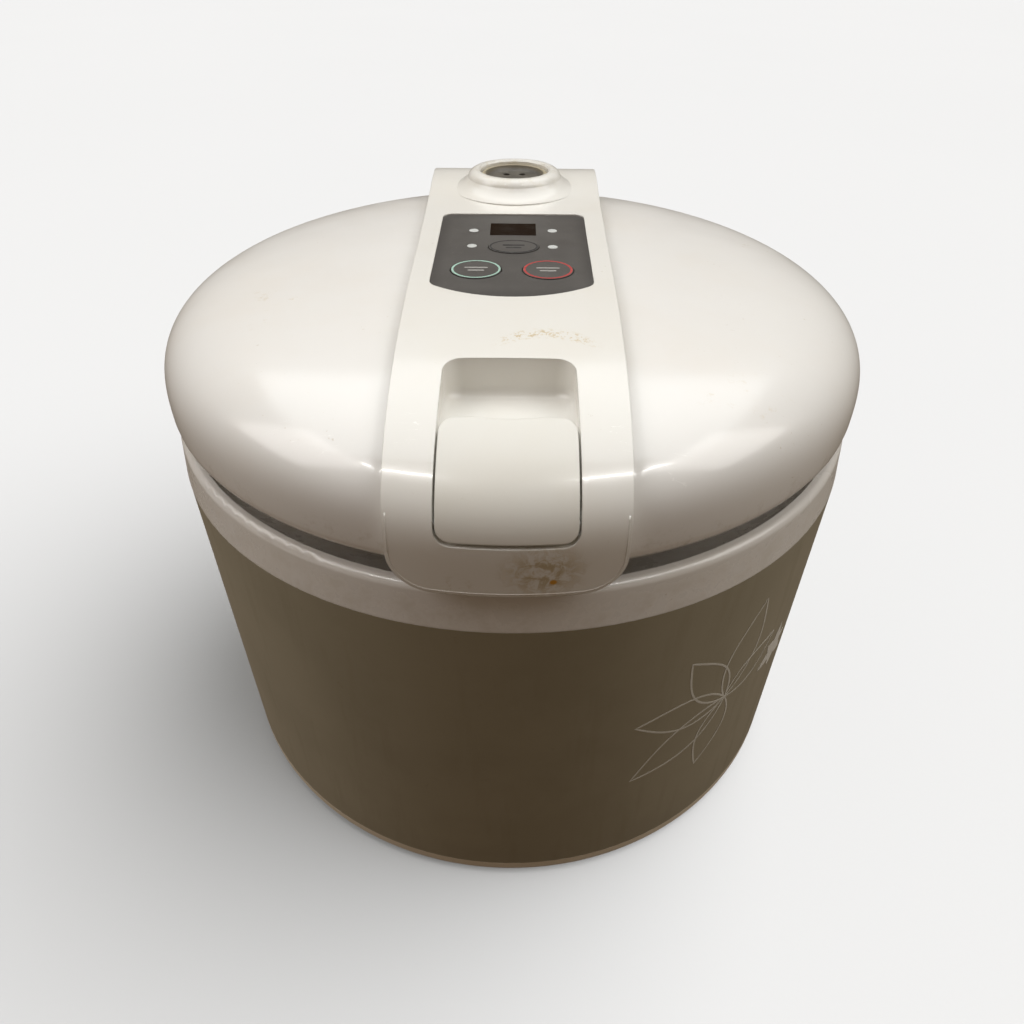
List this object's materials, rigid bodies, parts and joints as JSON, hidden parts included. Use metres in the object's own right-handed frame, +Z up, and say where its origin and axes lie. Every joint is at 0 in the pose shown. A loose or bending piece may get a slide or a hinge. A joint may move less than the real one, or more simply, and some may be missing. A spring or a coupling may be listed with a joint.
{
  "type": "rice cooker",
  "caption": "Round jar rice cooker with a hinged domed lid, raised centre band with latch, oval keys and steam vent, removable inner pot and heating plate.",
  "frame": {"origin": "the pot's axis at the level that the feet stand on, under the middle of the bounding box", "axes": "+Z up along the pot's axis, -Y to the front where the latch is, +Y to the rear hinge, +X to the right seen from the front"},
  "size_m": [0.27, 0.2768, 0.225],
  "materials": {
    "body_sheet": "satin printed sheet",
    "white_shell": "glossy white moulding",
    "cream_shell": "glossy warm white moulding",
    "latch_plastic": "glossy cream moulding",
    "base_plastic": "satin taupe moulding",
    "inner_plastic": "satin grey moulding",
    "dark_plastic": "matt black moulding",
    "foot_rubber": "matt rubber",
    "silicone": "translucent silicone",
    "aluminium": "satin spun aluminium",
    "cast_aluminium": "cast aluminium",
    "steel": "zinc plated steel",
    "liner_steel": "galvanised sheet",
    "brass": "plated brass",
    "pot_coating": "non-stick coating",
    "circuit_board": "solder mask",
    "relay_plastic": "moulded case",
    "coil_core": "varnished laminations",
    "band_fabric": "silicone coated glass cloth",
    "panel_print": "printed overlay",
    "display_glass": "dark smoked window",
    "key_print": "printed key",
    "light_pipe": "clear light pipe",
    "vent_cap": "grey moulding, stained"
  },
  "bodies": {
    "base": {"body_shell": "body_sheet", "upper_ring": "white_shell", "base_pan": "base_plastic", "foot_front_left": "foot_rubber", "foot_front_right": "foot_rubber", "foot_rear_left": "foot_rubber", "foot_rear_right": "foot_rubber", "support_posts": "steel", "base_screws": "steel", "inner_liner": "liner_steel", "keep_warm_band": "band_fabric", "heating_plate": "cast_aluminium", "heater_element": "steel", "plate_spacers": "steel", "sensor_housing": "aluminium", "sensor_spring": "steel", "thermal_fuse": "steel", "power_board": "circuit_board", "board_standoffs": "dark_plastic", "transformer": "coil_core", "relay": "relay_plastic", "power_inlet": "dark_plastic", "inlet_pins": "brass", "hinge_mount": "white_shell", "hinge_pin": "steel", "hinge_springs": "steel", "latch_strike": "steel"},
    "pot": {"inner_pot": "pot_coating"},
    "pot_sensor": {"sensor_cap": "aluminium"},
    "lid": {"lid_shell": "white_shell", "spine_cover": "cream_shell", "lid_base": "inner_plastic", "inner_lid_plate": "aluminium", "inner_lid_gasket": "silicone", "steam_grommet": "silicone", "vent_tube": "inner_plastic", "lid_hinge_frame": "white_shell", "control_panel": "panel_print", "display_window": "display_glass", "indicator_leds": "light_pipe", "control_board": "circuit_board", "board_screws": "steel", "tact_switches": "dark_plastic", "display_module": "dark_plastic", "lid_heater": "aluminium", "latch_pin": "steel", "latch_spring": "steel", "inner_lid_knob": "inner_plastic", "lid_screws": "steel"},
    "latch": {"latch_lever": "latch_plastic"},
    "steam_valve": {"steam_cap": "vent_cap", "steam_cap_base": "inner_plastic"},
    "preset_key": {"key_preset": "key_print"},
    "select_key": {"key_select": "key_print"},
    "off_key": {"key_off": "key_print"}
  },
  "joints": [
    {"name": "lid_hinge", "type": "hinge", "parent": "base", "child": "lid", "pos_m": [0, 0.126, 0.175], "axis": [-1, 0, 0], "range_deg": [0, 85]},
    {"name": "latch_pull", "type": "hinge", "parent": "lid", "child": "latch", "pos_m": [0, -0.1318, 0.1884], "axis": [1, 0, 0], "range_deg": [0, 10], "stiffness_Nm_per_rad": 0.6, "springref_deg": -11.46},
    {"name": "steam_valve_lift", "type": "slide", "parent": "lid", "child": "steam_valve", "axis": [0, 0, 1], "range_m": [0, 0.03]},
    {"name": "press_preset", "type": "slide", "parent": "lid", "child": "preset_key", "axis": [0, 0, -1], "range_m": [0, 0.0004], "stiffness_N_per_m": 1500, "springref_m": -0.0004},
    {"name": "press_select", "type": "slide", "parent": "lid", "child": "select_key", "axis": [0, 0, -1], "range_m": [0, 0.0004], "stiffness_N_per_m": 1500, "springref_m": -0.0004},
    {"name": "press_off", "type": "slide", "parent": "lid", "child": "off_key", "axis": [0, 0, -1], "range_m": [0, 0.0004], "stiffness_N_per_m": 1500, "springref_m": -0.0004},
    {"name": "pot_turn", "type": "hinge", "parent": "base", "child": "pot", "pos_m": [0, 0, 0.05], "axis": [0, 0, 1], "continuous": true},
    {"name": "sensor_press", "type": "slide", "parent": "base", "child": "pot_sensor", "axis": [0, 0, -1], "range_m": [0, 0.002], "stiffness_N_per_m": 1200, "springref_m": -0.003, "deforming": ["sensor_spring"]}
  ]
}
